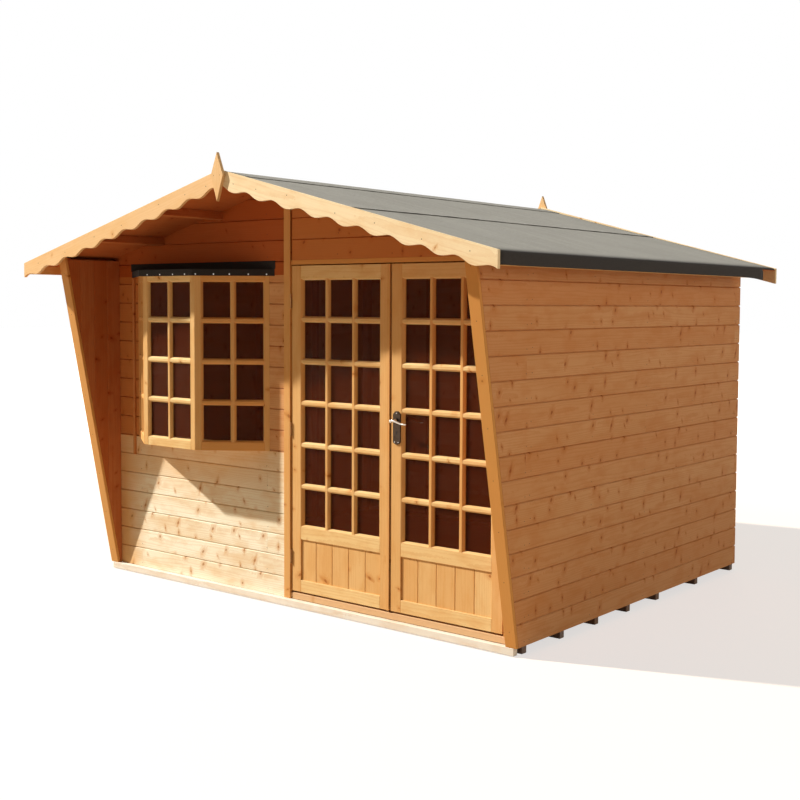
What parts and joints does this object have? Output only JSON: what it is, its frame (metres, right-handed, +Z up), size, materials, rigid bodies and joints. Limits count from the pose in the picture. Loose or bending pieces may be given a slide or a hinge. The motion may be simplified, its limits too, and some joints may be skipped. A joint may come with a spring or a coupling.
{
  "type": "summer house",
  "caption": "Timber summer house with a pitched felt roof, a mitred bay window, hinged double glazed doors, sloping porch wings and scalloped bargeboards.",
  "frame": {"origin": "on the ground, in the middle of the building's bounding box", "axes": "+X across the front, to the right as a visitor faces it; -Y out of the front; +Z up"},
  "size_m": [3.3856, 3.02, 2.3903],
  "materials": {
    "board_timber": "golden stain on planed shiplap boards",
    "trim_timber": "golden stain on planed boards",
    "inner_timber": "golden stain on sawn timber",
    "pale_timber": "pale golden stain",
    "bearer_timber": "grey-brown treated timber",
    "roof_felt": "mineral-faced bitumen felt",
    "glass": "clear",
    "steel": "zinc plated",
    "chrome": "polished"
  },
  "bodies": {
    "house": {"floor_bearers": "bearer_timber", "floor_boards": "inner_timber", "left_side_wall": "board_timber", "right_side_wall": "board_timber", "back_wall": "board_timber", "wall_framing": "inner_timber", "wing_linings": "board_timber", "wing_covers": "trim_timber", "front_edge_board": "pale_timber", "wall_below_bay": "board_timber", "wall_beside_bay": "board_timber", "wall_over_bay": "board_timber", "wall_over_doors": "board_timber", "bay_panel_framing": "inner_timber", "door_frame": "trim_timber", "door_sill": "pale_timber", "cover_strips": "trim_timber", "bay_board": "inner_timber", "bay_head": "trim_timber", "bay_flashing": "roof_felt", "bay_left_sash": "trim_timber", "bay_front_sash": "trim_timber", "bay_right_sash": "trim_timber", "bay_glass": "glass", "purlins": "inner_timber", "roof_boards": "inner_timber", "left_roof_felt": "roof_felt", "right_roof_felt": "roof_felt", "ridge_cap": "roof_felt", "eave_boards": "trim_timber", "front_bargeboards": "trim_timber", "back_bargeboards": "trim_timber", "finials": "trim_timber", "jamb_hinge_leaves": "steel"},
    "left_door": {"left_door": "trim_timber", "left_door_glass": "glass", "left_door_panel": "board_timber", "left_door_hinges": "steel", "meeting_strip": "trim_timber"},
    "right_door": {"right_door": "trim_timber", "right_door_glass": "glass", "right_door_panel": "board_timber", "right_door_hinges": "steel", "lock_plates": "chrome"},
    "lever": {"lever_handle": "chrome"}
  },
  "joints": [
    {"name": "left_door_hinge", "type": "hinge", "parent": "house", "child": "left_door", "pos_m": [0.0205, -1.005, 0.963], "axis": [0, 0, -1], "range_deg": [0, 95]},
    {"name": "right_door_hinge", "type": "hinge", "parent": "house", "child": "right_door", "pos_m": [1.401, -1.005, 0.963], "axis": [0, 0, 1], "range_deg": [0, 90]},
    {"name": "lever_turn", "type": "hinge", "parent": "right_door", "child": "lever", "pos_m": [0.7535, -0.982, 1.058], "axis": [0, 1, 0], "range_deg": [0, 40], "stiffness_Nm_per_rad": 1, "springref_deg": -34.38}
  ]
}
